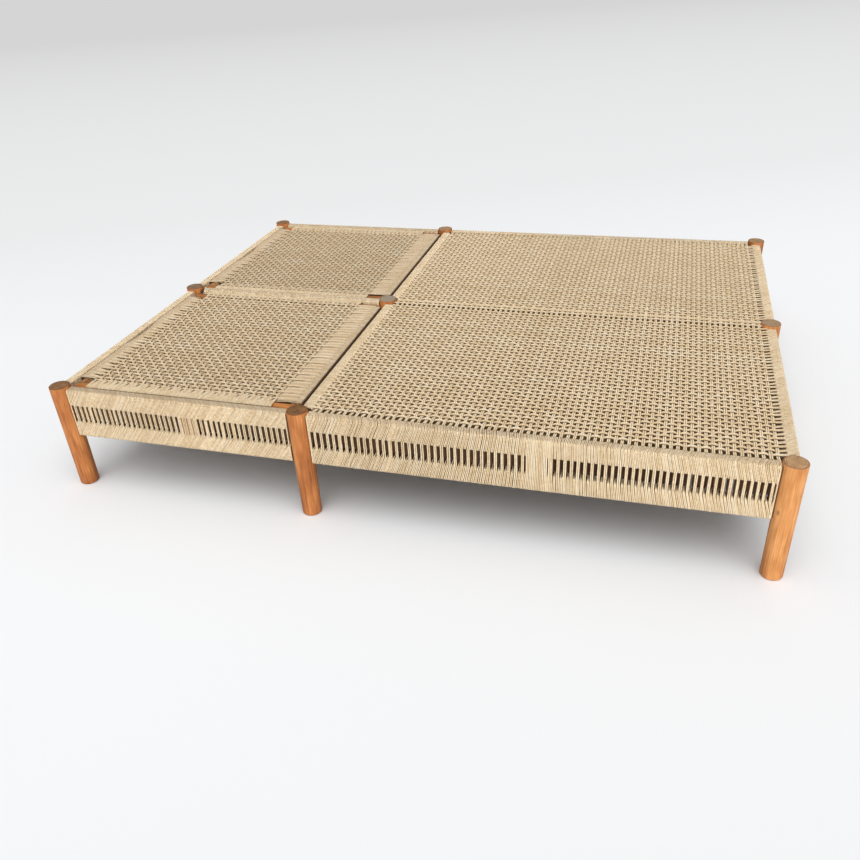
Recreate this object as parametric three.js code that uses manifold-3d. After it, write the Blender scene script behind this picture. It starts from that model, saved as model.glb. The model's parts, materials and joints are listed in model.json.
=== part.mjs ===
// A low double charpai: nine round posts, wrapped rails, two fixed woven beds on the right
// and two woven backrests on the left that hinge up and stand on steel props.
// Millimetres, +Z up, X along the length, origin on the floor under the middle of the part.
import * as THREE from 'three';
import { mergeVertices } from 'three/addons/utils/BufferGeometryUtils.js';
import Module from 'manifold-3d';

const wasm = await Module();
wasm.setup();

// Plan of the frame, measured between post centres
const leftBay = 740;
const rightBay = 1215;
const rowPitch = 760;

// Posts
const postDiameter = 57;
const postHeight = 330;
const postProud = 7;
const postTopRounding = 3;
const postFootRounding = 5;

// Cord and clearances
const cordDiameter = 4;
const fitGap = 0.3;
const overrun = 6;

// Frame rails and their tenons
const railWidth = 22;
const railHeight = 44;
const railGap = 56;
const crossRailOffset = 15;
const tenonThickness = 12;
const tenonHeight = 30;
const tenonDepth = 18;

// Struts between the upper and the lower rail of each side
const strutWidth = 44;
const strutTenonWidth = 28;
const strutTenonHeight = 16;
const leftStrutShare = 0.549;
const rightStrutShare = 0.5225;
const endStrutShare = 0.53;

// Wrapped aprons: slots between the gathered pairs of cords
const slotWidth = 7.5;
const slotEndMargin = 4;
const slotFirst = 34;
const leftSlotPitch = 16.2;
const rightSlotPitch = 16.5;
const leftSolidZone = 64;
const rightSolidZone = 62;

// Openings that stand for the fine holes of the woven beds
const bedOpeningsAlong = 10;
const bedOpeningsAcross = 6;
const bedOpeningShare = 0.52;

// Backrest panels
const panelRailDiameter = 34;
const panelInset = 39;
const panelLeftGap = 17;
const panelRightGap = 11;
const leftEndRailPlace = 36.5;
const rightEndRailSetback = 26;
const bareStubLeft = 58;
const bareStubRight = 74;
const bareCorner = 15;
const panelTenonDiameter = 14;
const panelTenonDepth = 12;
const scoopLength = 200;
const scoopDepth = 13;

// Backrest hinge and prop linkage
const hingeSetback = 45;
const pinDiameter = 10;
const pinRailDepth = 14;
const pinPanelDepth = 26;
const backrestMaxAngle = THREE.MathUtils.degToRad(60);
const propReach = 220;
const propLength = 365;
const trackDrop = 52;
const propRodDiameter = 12;
const propPivotDepth = 12;
const propBendRadius = 14;
const propSideGap = 10;
const footBarEndGap = 22;

// Notched racks that the foot bars stand on
const rackThickness = 30;
const rackBottomRise = 6;
const rackStart = 32;
const cradleLength = 18;
const cradleWrap = 8;
const rackRimRise = 4;
const rackStopLength = 30;
const rackStops = 6;
const notchFloorRun = 2;
const tipPlaceShare = 0.25;

// Facet counts
const postSides = 16;
const railSides = 12;
const rodSides = 8;
const scoopSides = 64;
const topRoundingSteps = 2;
const footRoundingSteps = 1;
const bullnoseSteps = 3;
const bendSteps = 4;
const notchSteps = 3;

// Sizes that follow from the ones above
const postRadius = postDiameter / 2;
const railHalf = railWidth / 2;
const wrappedHalf = railHalf + cordDiameter;
const weaveTop = postHeight - postProud;
const matThickness = cordDiameter * 2;
const matBottom = weaveTop - matThickness;
const upperRailBottom = weaveTop - cordDiameter - railHeight;
const lowerRailBottom = upperRailBottom - railGap - railHeight;
const tenonTip = postRadius - tenonDepth;
const panelRadius = panelRailDiameter / 2;
const wrappedRadius = panelRadius + cordDiameter;
const wrapSetback = postRadius + fitGap;
const hingeHeight = weaveTop - wrappedRadius;
const hingePlace = leftBay - hingeSetback;
const pinRadius = pinDiameter / 2;
const rodRadius = propRodDiameter / 2;
const rightEndRailPlace = leftBay - rightEndRailSetback;
const columns = [-(leftBay + rightBay) / 2, (leftBay - rightBay) / 2, (leftBay + rightBay) / 2];
const rows = [-rowPitch, 0, rowPitch];

// Materials
function wood(color) {
  return new THREE.MeshStandardMaterial({ color, roughness: 0.55, metalness: 0 });
}

function cord() {
  return new THREE.MeshStandardMaterial({ color: 0xd2ba90, roughness: 0.85, metalness: 0 });
}

function steel() {
  return new THREE.MeshStandardMaterial({ color: 0x8d8d8a, roughness: 0.4, metalness: 1 });
}

const postColor = 0xb9713d;
const railColor = 0xb57443;
const panelRailColor = 0xa9673a;

// Solids from three.js geometries
function toSolid(geometry) {
  geometry.deleteAttribute('normal');
  geometry.deleteAttribute('uv');
  const merged = mergeVertices(geometry);
  const corners = merged.index.array;
  const kept = [];
  for (let i = 0; i < corners.length; i += 3) {
    const [a, b, c] = corners.slice(i, i + 3);
    if (a !== b && b !== c && c !== a) kept.push(a, b, c);
  }
  const mesh = new wasm.Mesh({
    numProp: 3,
    vertProperties: merged.attributes.position.array,
    triVerts: new Uint32Array(kept),
  });
  return new wasm.Manifold(mesh);
}

function box(x0, x1, y0, y1, z0, z1) {
  const geometry = new THREE.BoxGeometry(x1 - x0, y1 - y0, z1 - z0);
  geometry.translate((x0 + x1) / 2, (y0 + y1) / 2, (z0 + z1) / 2);
  return toSolid(geometry);
}

// A round bar from one point to another
function rod(radius, start, end, sides) {
  const from = new THREE.Vector3(...start);
  const along = new THREE.Vector3(...end).sub(from);
  const length = along.length();
  const geometry = new THREE.CylinderGeometry(radius, radius, length, sides);
  geometry.translate(0, length / 2, 0);
  const turn = new THREE.Quaternion().setFromUnitVectors(THREE.Object3D.DEFAULT_UP, along.normalize());
  geometry.applyQuaternion(turn);
  geometry.translate(from.x, from.y, from.z);
  return toSolid(geometry);
}

// A faceted bore whose flats clear a round bar at any turn
function boreFor(radius) {
  return (radius + fitGap) / Math.cos(Math.PI / rodSides);
}

function join(...solids) {
  return solids.reduce((sum, solid) => sum.add(solid));
}

function cut(solid, ...tools) {
  return tools.reduce((rest, tool) => rest.subtract(tool), solid);
}

function turned(solid, degrees) {
  return solid.rotate([0, 0, degrees]);
}

// An arc as outline points, from one angle to another about a centre
function arc(centreX, centreY, radius, fromAngle, toAngle, steps) {
  const points = [];
  for (let i = 0; i <= steps; i += 1) {
    const angle = fromAngle + ((toAngle - fromAngle) * i) / steps;
    points.push(new THREE.Vector2(centreX + radius * Math.cos(angle), centreY + radius * Math.sin(angle)));
  }
  return points;
}

const quarter = Math.PI / 2;

function meshOf(name, solid, material) {
  const { vertProperties, triVerts } = solid.getMesh();
  const geometry = new THREE.BufferGeometry();
  geometry.setAttribute('position', new THREE.BufferAttribute(vertProperties, 3));
  geometry.setIndex(new THREE.BufferAttribute(triVerts, 1));
  geometry.computeVertexNormals();
  const mesh = new THREE.Mesh(geometry, material);
  mesh.name = name;
  return mesh;
}

// Posts, each with a mortise for every rail that ends in it
function postBlank() {
  const top = postRadius - postTopRounding;
  const foot = postRadius - postFootRounding;
  const profile = [
    new THREE.Vector2(0, 0),
    ...arc(foot, postFootRounding, postFootRounding, -quarter, 0, footRoundingSteps),
    ...arc(top, postHeight - postTopRounding, postTopRounding, 0, quarter, topRoundingSteps),
    new THREE.Vector2(0, postHeight),
  ];
  const geometry = new THREE.LatheGeometry(profile, postSides);
  geometry.rotateX(quarter);
  return toSolid(geometry);
}

function postSpace(x, y) {
  const low = [x, y, -overrun];
  const high = [x, y, postHeight + overrun];
  return rod(postRadius + fitGap, low, high, postSides);
}

function mortise(degrees, lateral, railBottom) {
  const halfWide = tenonThickness / 2 + fitGap;
  const halfTall = tenonHeight / 2 + fitGap;
  const middle = railBottom + railHeight / 2;
  const start = tenonTip - fitGap;
  const end = postRadius + overrun;
  const sides = [lateral - halfWide, lateral + halfWide];
  return turned(box(start, end, ...sides, middle - halfTall, middle + halfTall), degrees);
}

function postMortises(column, row) {
  const slots = [];
  const both = [upperRailBottom, lowerRailBottom];
  const upper = [upperRailBottom];
  const eastLevels = row === 1 && column === 1 ? upper : both;
  const westLevels = row === 1 && column === 2 ? upper : both;
  const crossLevels = column === 1 ? upper : both;
  const shift = column === 1 ? crossRailOffset : 0;
  const add = (degrees, lateral, levels) => levels.forEach((z) => slots.push(mortise(degrees, lateral, z)));
  if (column < 2) add(0, 0, eastLevels);
  if (column > 0) add(180, 0, westLevels);
  if (row < 2) add(90, -shift, crossLevels);
  if (row > 0) add(-90, shift, crossLevels);
  return slots;
}

function makePost(name, column, row) {
  const mesh = meshOf(name, cut(postBlank(), ...postMortises(column, row)), wood(postColor));
  mesh.position.set(columns[column], rows[row], 0);
  return mesh;
}

// A rail between two posts along X, coped round both and tenoned into them
function railSolid(length, bottom, lateral, half = railHalf) {
  const top = bottom + railHeight;
  const middle = bottom + railHeight / 2;
  const tenonRoot = postRadius + railWidth;
  const sides = [lateral - tenonThickness / 2, lateral + tenonThickness / 2];
  const levels = [middle - tenonHeight / 2, middle + tenonHeight / 2];
  const bar = box(0, length, lateral - half, lateral + half, bottom, top);
  const coped = cut(bar, postSpace(0, 0), postSpace(length, 0));
  const nearTenon = box(tenonTip, tenonRoot, ...sides, ...levels);
  const farTenon = box(length - tenonRoot, length - tenonTip, ...sides, ...levels);
  return join(coped, nearTenon, farTenon);
}

function spanAbout(centre, width) {
  return [centre - width / 2, centre + width / 2];
}

function strutSolid(place) {
  const lowerTop = lowerRailBottom + railHeight;
  const tenonHalf = tenonThickness / 2;
  const shaftTop = upperRailBottom - fitGap;
  const shaft = box(...spanAbout(place, strutWidth), -railHalf, railHalf, lowerTop - overrun, shaftTop);
  const tenonTop = upperRailBottom + strutTenonHeight;
  const tenon = box(...spanAbout(place, strutTenonWidth), -tenonHalf, tenonHalf, lowerTop, tenonTop);
  return shaft.add(tenon);
}

function strutMortise(place) {
  const half = tenonThickness / 2 + fitGap;
  const top = upperRailBottom + strutTenonHeight + fitGap;
  const span = spanAbout(place, strutTenonWidth + fitGap * 2);
  return box(...span, -half, half, upperRailBottom - overrun, top);
}

// A blind hole for a hinge pin, drilled from the inner face of a side rail
function pinHole(place, depthFrom, depthTo) {
  const start = [place, depthFrom, hingeHeight];
  return rod(boreFor(pinRadius), start, [place, depthTo, hingeHeight], rodSides);
}

// The wrapped cord of one rail, open at both ends
function sleeveSolid(length, bottom) {
  const low = bottom - cordDiameter;
  const high = bottom + railHeight + cordDiameter;
  return box(wrapSetback, length - wrapSetback, -wrappedHalf, wrappedHalf, low, high);
}

function railSpace(length, bottom) {
  const half = railHalf + fitGap;
  const high = bottom + railHeight + fitGap;
  return box(-overrun, length + overrun, -half, half, bottom - fitGap, high);
}

function slotsBetween(from, to, pitch) {
  const count = Math.floor((to - from + pitch - slotWidth) / pitch);
  const first = (from + to - (count - 1) * pitch) / 2;
  const low = lowerRailBottom + railHeight + cordDiameter + slotEndMargin;
  const high = upperRailBottom - cordDiameter - slotEndMargin;
  const slots = [];
  for (let i = 0; i < count; i += 1) {
    const x = first + i * pitch;
    const outside = -wrappedHalf - overrun;
    slots.push(box(x - slotWidth / 2, x + slotWidth / 2, outside, -railHalf, low, high));
  }
  return slots;
}

// The cord of a side: a sleeve on each rail and the curtain of gathered pairs between them
function apronSolid(length, strutPlace, pitch, solidZone, pins) {
  const inner = railHalf + fitGap;
  const curtainLow = lowerRailBottom + railHeight;
  const curtainHigh = upperRailBottom;
  const zone = spanAbout(strutPlace, solidZone);
  const curtain = box(wrapSetback, length - wrapSetback, -wrappedHalf, -inner, curtainLow, curtainHigh);
  const strutCover = box(...zone, inner, wrappedHalf, curtainLow, curtainHigh);
  const strutRoom = spanAbout(strutPlace, strutWidth + fitGap * 2);
  const strutHole = box(...strutRoom, -inner, inner, curtainLow, curtainHigh);
  const sleeves = [upperRailBottom, lowerRailBottom].map((bottom) => sleeveSolid(length, bottom));
  const slots = [
    ...slotsBetween(slotFirst, zone[0], pitch),
    ...slotsBetween(zone[1], length - slotFirst, pitch),
  ];
  return cut(
    join(...sleeves, curtain, strutCover),
    railSpace(length, upperRailBottom),
    railSpace(length, lowerRailBottom),
    strutHole,
    ...pins.map((place) => pinHole(place, 0, wrappedHalf + overrun)),
    ...slots,
  );
}

// One side of the frame between two posts: X runs along it and -Y faces out
function sideBay(side, length, strutPlace, pitch, solidZone, pins) {
  const bay = new THREE.Group();
  const pinHoles = pins.map((place) => pinHole(place, railHalf - pinRailDepth, wrappedHalf));
  const upper = cut(railSolid(length, upperRailBottom, 0), strutMortise(strutPlace), ...pinHoles);
  const lower = railSolid(length, lowerRailBottom, 0).add(strutSolid(strutPlace));
  bay.add(meshOf(`upper_rail_${side}`, upper, wood(railColor)));
  bay.add(meshOf(`lower_rail_${side}`, lower, wood(railColor)));
  const apron = apronSolid(length, strutPlace, pitch, solidZone, pins);
  bay.add(meshOf(`apron_cord_${side}`, apron, cord()));
  return bay;
}

function placeBay(bay, column, row, degrees) {
  bay.position.set(columns[column], rows[row], 0);
  bay.rotation.z = THREE.MathUtils.degToRad(degrees);
  return bay;
}

// The centre line of the left section. Its bare lower rail is as thick as a wrapped one, so that
// the racks on both its faces stand clear of the cord above.
function centreLeftBay() {
  const bay = new THREE.Group();
  const through = wrappedHalf + overrun;
  const hole = pinHole(hingePlace, -through, through);
  const upper = railSolid(leftBay, upperRailBottom, 0).subtract(hole);
  const wrap = cut(sleeveSolid(leftBay, upperRailBottom), railSpace(leftBay, upperRailBottom), hole);
  bay.add(meshOf('centre_left_upper_rail', upper, wood(railColor)));
  const lower = railSolid(leftBay, lowerRailBottom, 0, wrappedHalf);
  bay.add(meshOf('centre_left_lower_rail', lower, wood(railColor)));
  bay.add(meshOf('centre_left_rail_cord', wrap, cord()));
  return bay;
}

// A plain grid of openings through a bed's mat
function bedOpenings(left, right, near, far) {
  const pitchX = (right - left) / bedOpeningsAlong;
  const pitchY = (far - near) / bedOpeningsAcross;
  const levels = [matBottom - overrun, weaveTop + overrun];
  const openings = [];
  for (let i = 0; i < bedOpeningsAlong; i += 1) {
    for (let j = 0; j < bedOpeningsAcross; j += 1) {
      const spanX = spanAbout(left + (i + 0.5) * pitchX, pitchX * bedOpeningShare);
      const spanY = spanAbout(near + (j + 0.5) * pitchY, pitchY * bedOpeningShare);
      openings.push(box(...spanX, ...spanY, ...levels));
    }
  }
  return openings;
}

// Woven bed of a right-hand bay: the mat, the wrap of the cross rail on its left edge and,
// on the front bed, the wrap of the centre rail that both beds share
function bedWeave(name, row, wrapsCentreRail) {
  const space = railHalf + fitGap;
  const near = wrappedHalf + fitGap;
  const far = rowPitch - near;
  const right = rightBay - near;
  const wrapLow = upperRailBottom - cordDiameter;
  const spaceLevels = [upperRailBottom - fitGap, upperRailBottom + railHeight + fitGap];
  const crossWrap = [crossRailOffset - wrappedHalf, crossRailOffset + wrappedHalf];
  const crossSpace = [crossRailOffset - space, crossRailOffset + space];
  const pieces = [
    box(crossRailOffset, right, near, far, matBottom, weaveTop),
    box(...crossWrap, near, far, wrapLow, weaveTop),
  ];
  const tools = [box(...crossSpace, 0, rowPitch, ...spaceLevels), postSpace(0, 0), postSpace(rightBay, 0)];
  if (wrapsCentreRail) {
    pieces.push(box(wrapSetback, right, rowPitch - wrappedHalf, rowPitch + wrappedHalf, wrapLow, weaveTop));
    pieces.push(box(...crossWrap, far - overrun, rowPitch - wrappedHalf, wrapLow, weaveTop));
    pieces.push(box(wrapSetback, right, far - overrun, rowPitch, matBottom, weaveTop));
    tools.push(box(0, rightBay, rowPitch - space, rowPitch + space, ...spaceLevels));
  }
  tools.push(postSpace(0, rowPitch), postSpace(rightBay, rowPitch));
  tools.push(...bedOpenings(crossWrap[1], right, near, far));
  const mesh = meshOf(name, cut(join(...pieces), ...tools), cord());
  mesh.position.set(columns[1], rows[row], 0);
  return mesh;
}

function crossRail(name, row) {
  const mesh = meshOf(name, railSolid(rowPitch, upperRailBottom, -crossRailOffset), wood(railColor));
  mesh.position.set(columns[1], rows[row], 0);
  mesh.rotation.z = quarter;
  return mesh;
}

// Backrest panels. X starts at the left post line, Y at the row line, Z at the rail axes.
const scoopRadius = (scoopLength ** 2 / 4 + scoopDepth ** 2) / (scoopDepth * 2);
const scoopCentre = leftEndRailPlace - wrappedRadius + scoopDepth - scoopRadius;

function scoopTool(radius) {
  const low = [scoopCentre, rowPitch / 2, -wrappedRadius - overrun];
  const high = [scoopCentre, rowPitch / 2, wrappedRadius + overrun];
  return rod(radius, low, high, scoopSides);
}

function bullnoseBar(start, end, radius) {
  const profile = [
    ...arc(0, start + radius, radius, -quarter, 0, bullnoseSteps),
    ...arc(0, end - radius, radius, 0, quarter, bullnoseSteps),
  ];
  profile[0].x = 0;
  profile[profile.length - 1].x = 0;
  const geometry = new THREE.LatheGeometry(profile, railSides);
  geometry.rotateZ(-quarter);
  return toSolid(geometry);
}

// The long rail of a panel; inward is +1 where the panel lies on its +Y side
function panelSideRail(name, inward) {
  const socketBottom = (panelRadius - panelTenonDepth - fitGap) * inward;
  const socketMouth = (panelRadius + overrun) * inward;
  const socketRadius = panelTenonDiameter / 2 + fitGap;
  const pivotBottom = (panelRadius - propPivotDepth - fitGap) * inward;
  const pivotPlace = hingePlace - propReach;
  const pinBottom = (pinPanelDepth - panelRadius) * inward;
  const pinMouth = -(panelRadius + overrun) * inward;
  const sockets = [leftEndRailPlace, rightEndRailPlace].map((place) => {
    return rod(socketRadius, [place, socketBottom, 0], [place, socketMouth, 0], rodSides);
  });
  const pivotStart = [pivotPlace, pivotBottom, 0];
  const pivot = rod(boreFor(rodRadius), pivotStart, [pivotPlace, socketMouth, 0], rodSides);
  const pin = rod(boreFor(pinRadius), [hingePlace, pinBottom, 0], [hingePlace, pinMouth, 0], rodSides);
  const bar = bullnoseBar(panelLeftGap, leftBay - panelRightGap, panelRadius);
  return meshOf(name, cut(bar, ...sockets, pivot, pin), wood(panelRailColor));
}

function panelEndRail(name, place, tools) {
  const inner = panelRadius - panelTenonDepth;
  const near = panelInset;
  const far = rowPitch - panelInset;
  const trim = panelRadius / 2;
  const bar = rod(panelRadius, [place, near + trim, 0], [place, far - trim, 0], railSides);
  const copes = [near, far].map((y) => {
    const start = [place - panelRailDiameter, y, 0];
    return rod(panelRadius + fitGap, start, [place + panelRailDiameter, y, 0], railSides);
  });
  const tenonRadius = panelTenonDiameter / 2;
  const tenonSpans = [
    [near + inner, near + panelRailDiameter],
    [far - panelRailDiameter, far - inner],
  ];
  const tenons = tenonSpans.map((span) => {
    return rod(tenonRadius, [place, span[0], 0], [place, span[1], 0], rodSides);
  });
  return meshOf(name, join(cut(bar, ...copes, ...tools), ...tenons), wood(panelRailColor));
}

function panelWeave(name) {
  const bore = panelRadius + fitGap;
  const wrapFrom = panelLeftGap + bareStubLeft;
  const wrapTo = leftBay - panelRightGap - bareStubRight;
  const near = panelInset;
  const far = rowPitch - panelInset;
  const endStart = near + bore;
  const endStop = far - bore;
  const matLow = wrappedRadius - matThickness;
  const centres = [leftEndRailPlace, rightEndRailPlace];
  const sideWraps = [near, far].map((y) => rod(wrappedRadius, [wrapFrom, y, 0], [wrapTo, y, 0], railSides));
  const leftSpan = [endStart + bareCorner, endStop - bareCorner];
  const endWraps = [leftSpan, [endStart, endStop]].map(([start, stop], i) => {
    return rod(wrappedRadius, [centres[i], start, 0], [centres[i], stop, 0], railSides);
  });
  const middleMat = box(wrapFrom, wrapTo, near, far, matLow, wrappedRadius);
  const leftMat = box(centres[0], wrapFrom + overrun, ...leftSpan, matLow, wrappedRadius);
  const rightMat = box(wrapTo - overrun, centres[1], endStart, endStop, matLow, wrappedRadius);
  const sideBores = [near, far].map((y) => rod(bore, [0, y, 0], [leftBay, y, 0], railSides));
  const endBores = centres.map((x) => rod(bore, [x, near, 0], [x, far, 0], railSides));
  const leftBore = endBores[0].subtract(scoopTool(scoopRadius + cordDiameter - fitGap));
  const pivotPlace = hingePlace - propReach;
  const pivotRadius = boreFor(rodRadius);
  const pivotLength = wrappedRadius + overrun;
  const pivotSpans = [
    [near, near + pivotLength],
    [far - pivotLength, far],
  ];
  const pivots = pivotSpans.map((span) => {
    return rod(pivotRadius, [pivotPlace, span[0], 0], [pivotPlace, span[1], 0], rodSides);
  });
  const body = join(middleMat, leftMat, rightMat, ...sideWraps, ...endWraps);
  const solid = cut(body, ...sideBores, leftBore, endBores[1], scoopTool(scoopRadius), ...pivots);
  return meshOf(name, solid, cord());
}

function backrest(name, row) {
  const panel = new THREE.Group();
  const nearRail = panelSideRail(`${name}_front_rail`, 1);
  const farRail = panelSideRail(`${name}_rear_rail`, -1);
  nearRail.position.y = panelInset;
  farRail.position.y = rowPitch - panelInset;
  panel.add(nearRail, farRail);
  const scoopWood = scoopTool(scoopRadius + cordDiameter);
  panel.add(panelEndRail(`${name}_left_rail`, leftEndRailPlace, [scoopWood]));
  panel.add(panelEndRail(`${name}_right_rail`, rightEndRailPlace, []));
  panel.add(panelWeave(`${name}_weave`));
  panel.position.set(columns[0], rows[row], hingeHeight);
  return panel;
}

// Prop linkage. The foot bar slides along the racks while the backrest rises; the prop turns
// by a constant share of the backrest's angle, which seats the bar at both ends of its travel.
const restDip = Math.asin(trackDrop / propLength);
const raisedDip = Math.asin((propReach * Math.sin(backrestMaxAngle) + trackDrop) / propLength);
const dipShare = (raisedDip - restDip) / backrestMaxAngle;

function footAt(angle) {
  const dip = restDip + dipShare * angle;
  const reach = propReach * Math.cos(angle) + propLength * Math.cos(dip);
  const rise = propReach * Math.sin(angle) - propLength * Math.sin(dip) + trackDrop;
  return { x: hingePlace - reach, z: hingeHeight - trackDrop + rise };
}

// One arm of a prop about its pivot axis: the end turned into the panel's rail, a bend and a leg.
// Outward is +1 where the panel's rail lies on the -Y side of the arm.
function propArm(railY, outward) {
  const armY = railY + (wrappedRadius + propSideGap + rodRadius) * outward;
  const tipY = railY + (panelRadius - propPivotDepth) * outward;
  const foot = new THREE.Vector3(-propLength * Math.cos(restDip), 0, -trackDrop);
  const along = foot.clone().normalize();
  const corner = new THREE.Vector3(0, armY, 0);
  const bendStart = new THREE.Vector3(0, armY - propBendRadius * outward, 0);
  const bendEnd = corner.clone().addScaledVector(along, propBendRadius);
  const bend = new THREE.QuadraticBezierCurve3(bendStart, corner, bendEnd);
  const points = [new THREE.Vector3(0, tipY, 0), ...bend.getPoints(bendSteps), foot.add(corner)];
  const planeNormal = new THREE.Vector3().crossVectors(along, THREE.Object3D.DEFAULT_UP).normalize();
  return bentRod(points, rodRadius, planeNormal);
}

// A round bar bent in one plane through the given points, closed at both ends
function bentRod(points, radius, planeNormal) {
  const places = [];
  const faces = [];
  const last = points.length - 1;
  points.forEach((point, i) => {
    const along = points[Math.min(i + 1, last)].clone().sub(points[Math.max(i - 1, 0)]).normalize();
    const across = new THREE.Vector3().crossVectors(along, planeNormal);
    for (let side = 0; side < rodSides; side += 1) {
      const angle = (side / rodSides) * Math.PI * 2;
      const corner = point.clone().addScaledVector(planeNormal, radius * Math.cos(angle));
      corner.addScaledVector(across, radius * Math.sin(angle));
      places.push(corner.x, corner.y, corner.z);
    }
  });
  const at = (ring, side) => ring * rodSides + (side % rodSides);
  for (let side = 0; side < rodSides; side += 1) {
    for (let ring = 0; ring < last; ring += 1) {
      faces.push(at(ring, side), at(ring, side + 1), at(ring + 1, side + 1));
      faces.push(at(ring, side), at(ring + 1, side + 1), at(ring + 1, side));
    }
    faces.push(at(0, 0), at(0, side + 1), at(0, side));
    faces.push(at(last, 0), at(last, side), at(last, side + 1));
  }
  const geometry = new THREE.BufferGeometry();
  geometry.setAttribute('position', new THREE.Float32BufferAttribute(places, 3));
  geometry.setIndex(faces);
  return toSolid(geometry);
}

function makeProp(name, row) {
  const arms = [propArm(panelInset, 1), propArm(rowPitch - panelInset, -1)];
  const footX = -propLength * Math.cos(restDip);
  const start = [footX, footBarEndGap, -trackDrop];
  const bar = rod(rodRadius, start, [footX, rowPitch - footBarEndGap, -trackDrop], rodSides);
  const mesh = meshOf(name, join(...arms, bar), steel());
  mesh.position.set(columns[0] + hingePlace - propReach, rows[row], hingeHeight);
  return mesh;
}

// A rack: cradle for the panel's rail at its left end, then notches along the foot bar's track
function rackOutline() {
  const notchRadius = rodRadius + fitGap;
  const barHeight = hingeHeight - trackDrop;
  const floor = barHeight - notchRadius;
  const rim = barHeight + rackRimRise;
  const bottom = lowerRailBottom + rackBottomRise;
  const first = footAt(0).x;
  const last = footAt(backrestMaxAngle).x;
  const end = last + notchRadius + rackStopLength;
  const cradleTop = hingeHeight - cradleWrap;
  const cradleEnd = rackStart + cradleLength;
  const step = backrestMaxAngle / (rackStops - 1);
  const point = (x, z) => new THREE.Vector2(x, z);
  const outline = [
    point(rackStart, bottom),
    point(end, bottom),
    point(end, rim),
    point(last + notchRadius, rim),
  ];
  outline.push(...arc(last, barHeight, notchRadius, 0, -quarter, notchSteps));
  for (let stop = rackStops - 1; stop > 0; stop -= 1) {
    const tip = footAt(step * (stop - tipPlaceShare));
    const below = footAt(step * (stop - 1));
    outline.push(point(tip.x, floor), point(tip.x, tip.z - notchRadius));
    outline.push(point(below.x + notchFloorRun, floor));
  }
  outline.push(...arc(first, barHeight, notchRadius, -quarter, -quarter * 2, notchSteps));
  outline.push(point(first - notchRadius, rim), point(cradleEnd, rim));
  outline.push(point(cradleEnd, cradleTop), point(rackStart, cradleTop));
  return outline;
}

// A rack on its rail's inner face; inward is +1 where it lies on the +Y side of its row line
function makeRack(name, row, inward) {
  const seat = wrappedHalf + fitGap;
  const shape = new THREE.Shape(rackOutline());
  const geometry = new THREE.ExtrudeGeometry(shape, { depth: rackThickness, bevelEnabled: false });
  geometry.rotateX(quarter);
  geometry.translate(0, inward > 0 ? seat + rackThickness : -seat, 0);
  const railY = panelInset * inward;
  const saddleStart = [0, railY, hingeHeight];
  const saddle = rod(panelRadius + fitGap, saddleStart, [leftBay, railY, hingeHeight], railSides);
  const mesh = meshOf(name, toSolid(geometry).subtract(saddle), wood(railColor));
  mesh.position.set(columns[0], rows[row], 0);
  return mesh;
}

function makePin(name, row, from, to) {
  const mesh = meshOf(name, rod(pinRadius, [0, from, 0], [0, to, 0], rodSides), steel());
  mesh.position.set(columns[0] + hingePlace, rows[row], hingeHeight);
  return mesh;
}

// Assembly
const group = new THREE.Group();
const columnNames = ['left', 'middle', 'right'];
const rowNames = ['front', 'centre', 'back'];

rowNames.forEach((rowName, row) => {
  columnNames.forEach((columnName, column) => {
    group.add(makePost(`post_${rowName}_${columnName}`, column, row));
  });
});

const leftStrut = leftBay * leftStrutShare;
const rightStrut = rightBay * rightStrutShare;
const leftSide = [leftSlotPitch, leftSolidZone];
const rightSide = [rightSlotPitch, rightSolidZone];
const endSide = [rowPitch, rowPitch * endStrutShare, rightSlotPitch, leftSolidZone];

group.add(placeBay(sideBay('front_left', leftBay, leftStrut, ...leftSide, [hingePlace]), 0, 0, 0));
group.add(placeBay(sideBay('front_right', rightBay, rightStrut, ...rightSide, []), 1, 0, 0));
group.add(placeBay(sideBay('right_front', ...endSide, []), 2, 0, 90));
group.add(placeBay(sideBay('right_back', ...endSide, []), 2, 1, 90));
group.add(placeBay(sideBay('back_right', rightBay, rightBay - rightStrut, ...rightSide, []), 2, 2, 180));
const backLeft = sideBay('back_left', leftBay, leftBay - leftStrut, ...leftSide, [hingeSetback]);
group.add(placeBay(backLeft, 1, 2, 180));
group.add(placeBay(sideBay('left_back', ...endSide, []), 0, 2, -90));
group.add(placeBay(sideBay('left_front', ...endSide, []), 0, 1, -90));

group.add(placeBay(centreLeftBay(), 0, 1, 0));
const centreRight = meshOf('centre_right_rail', railSolid(rightBay, upperRailBottom, 0), wood(railColor));
group.add(placeBay(centreRight, 1, 1, 0));
group.add(crossRail('cross_rail_front', 0), crossRail('cross_rail_back', 1));
group.add(bedWeave('right_front_weave', 0, true), bedWeave('right_back_weave', 1, false));

group.add(backrest('front_backrest', 0), backrest('back_backrest', 1));
group.add(makeProp('front_prop', 0), makeProp('back_prop', 1));

group.add(makeRack('rack_front_outer', 0, 1), makeRack('rack_front_inner', 1, -1));
group.add(makeRack('rack_back_inner', 1, 1), makeRack('rack_back_outer', 2, -1));

const pinReach = panelInset - panelRadius + pinPanelDepth - fitGap;
const pinRoot = railHalf - pinRailDepth + fitGap;
group.add(makePin('hinge_pin_front', 0, pinRoot, pinReach));
group.add(makePin('hinge_pin_centre', 1, -pinReach, pinReach));
group.add(makePin('hinge_pin_back', 2, -pinReach, -pinRoot));

export default group;
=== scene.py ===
import json
import math

import bpy
import numpy as np
from mathutils import Matrix, Vector

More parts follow.
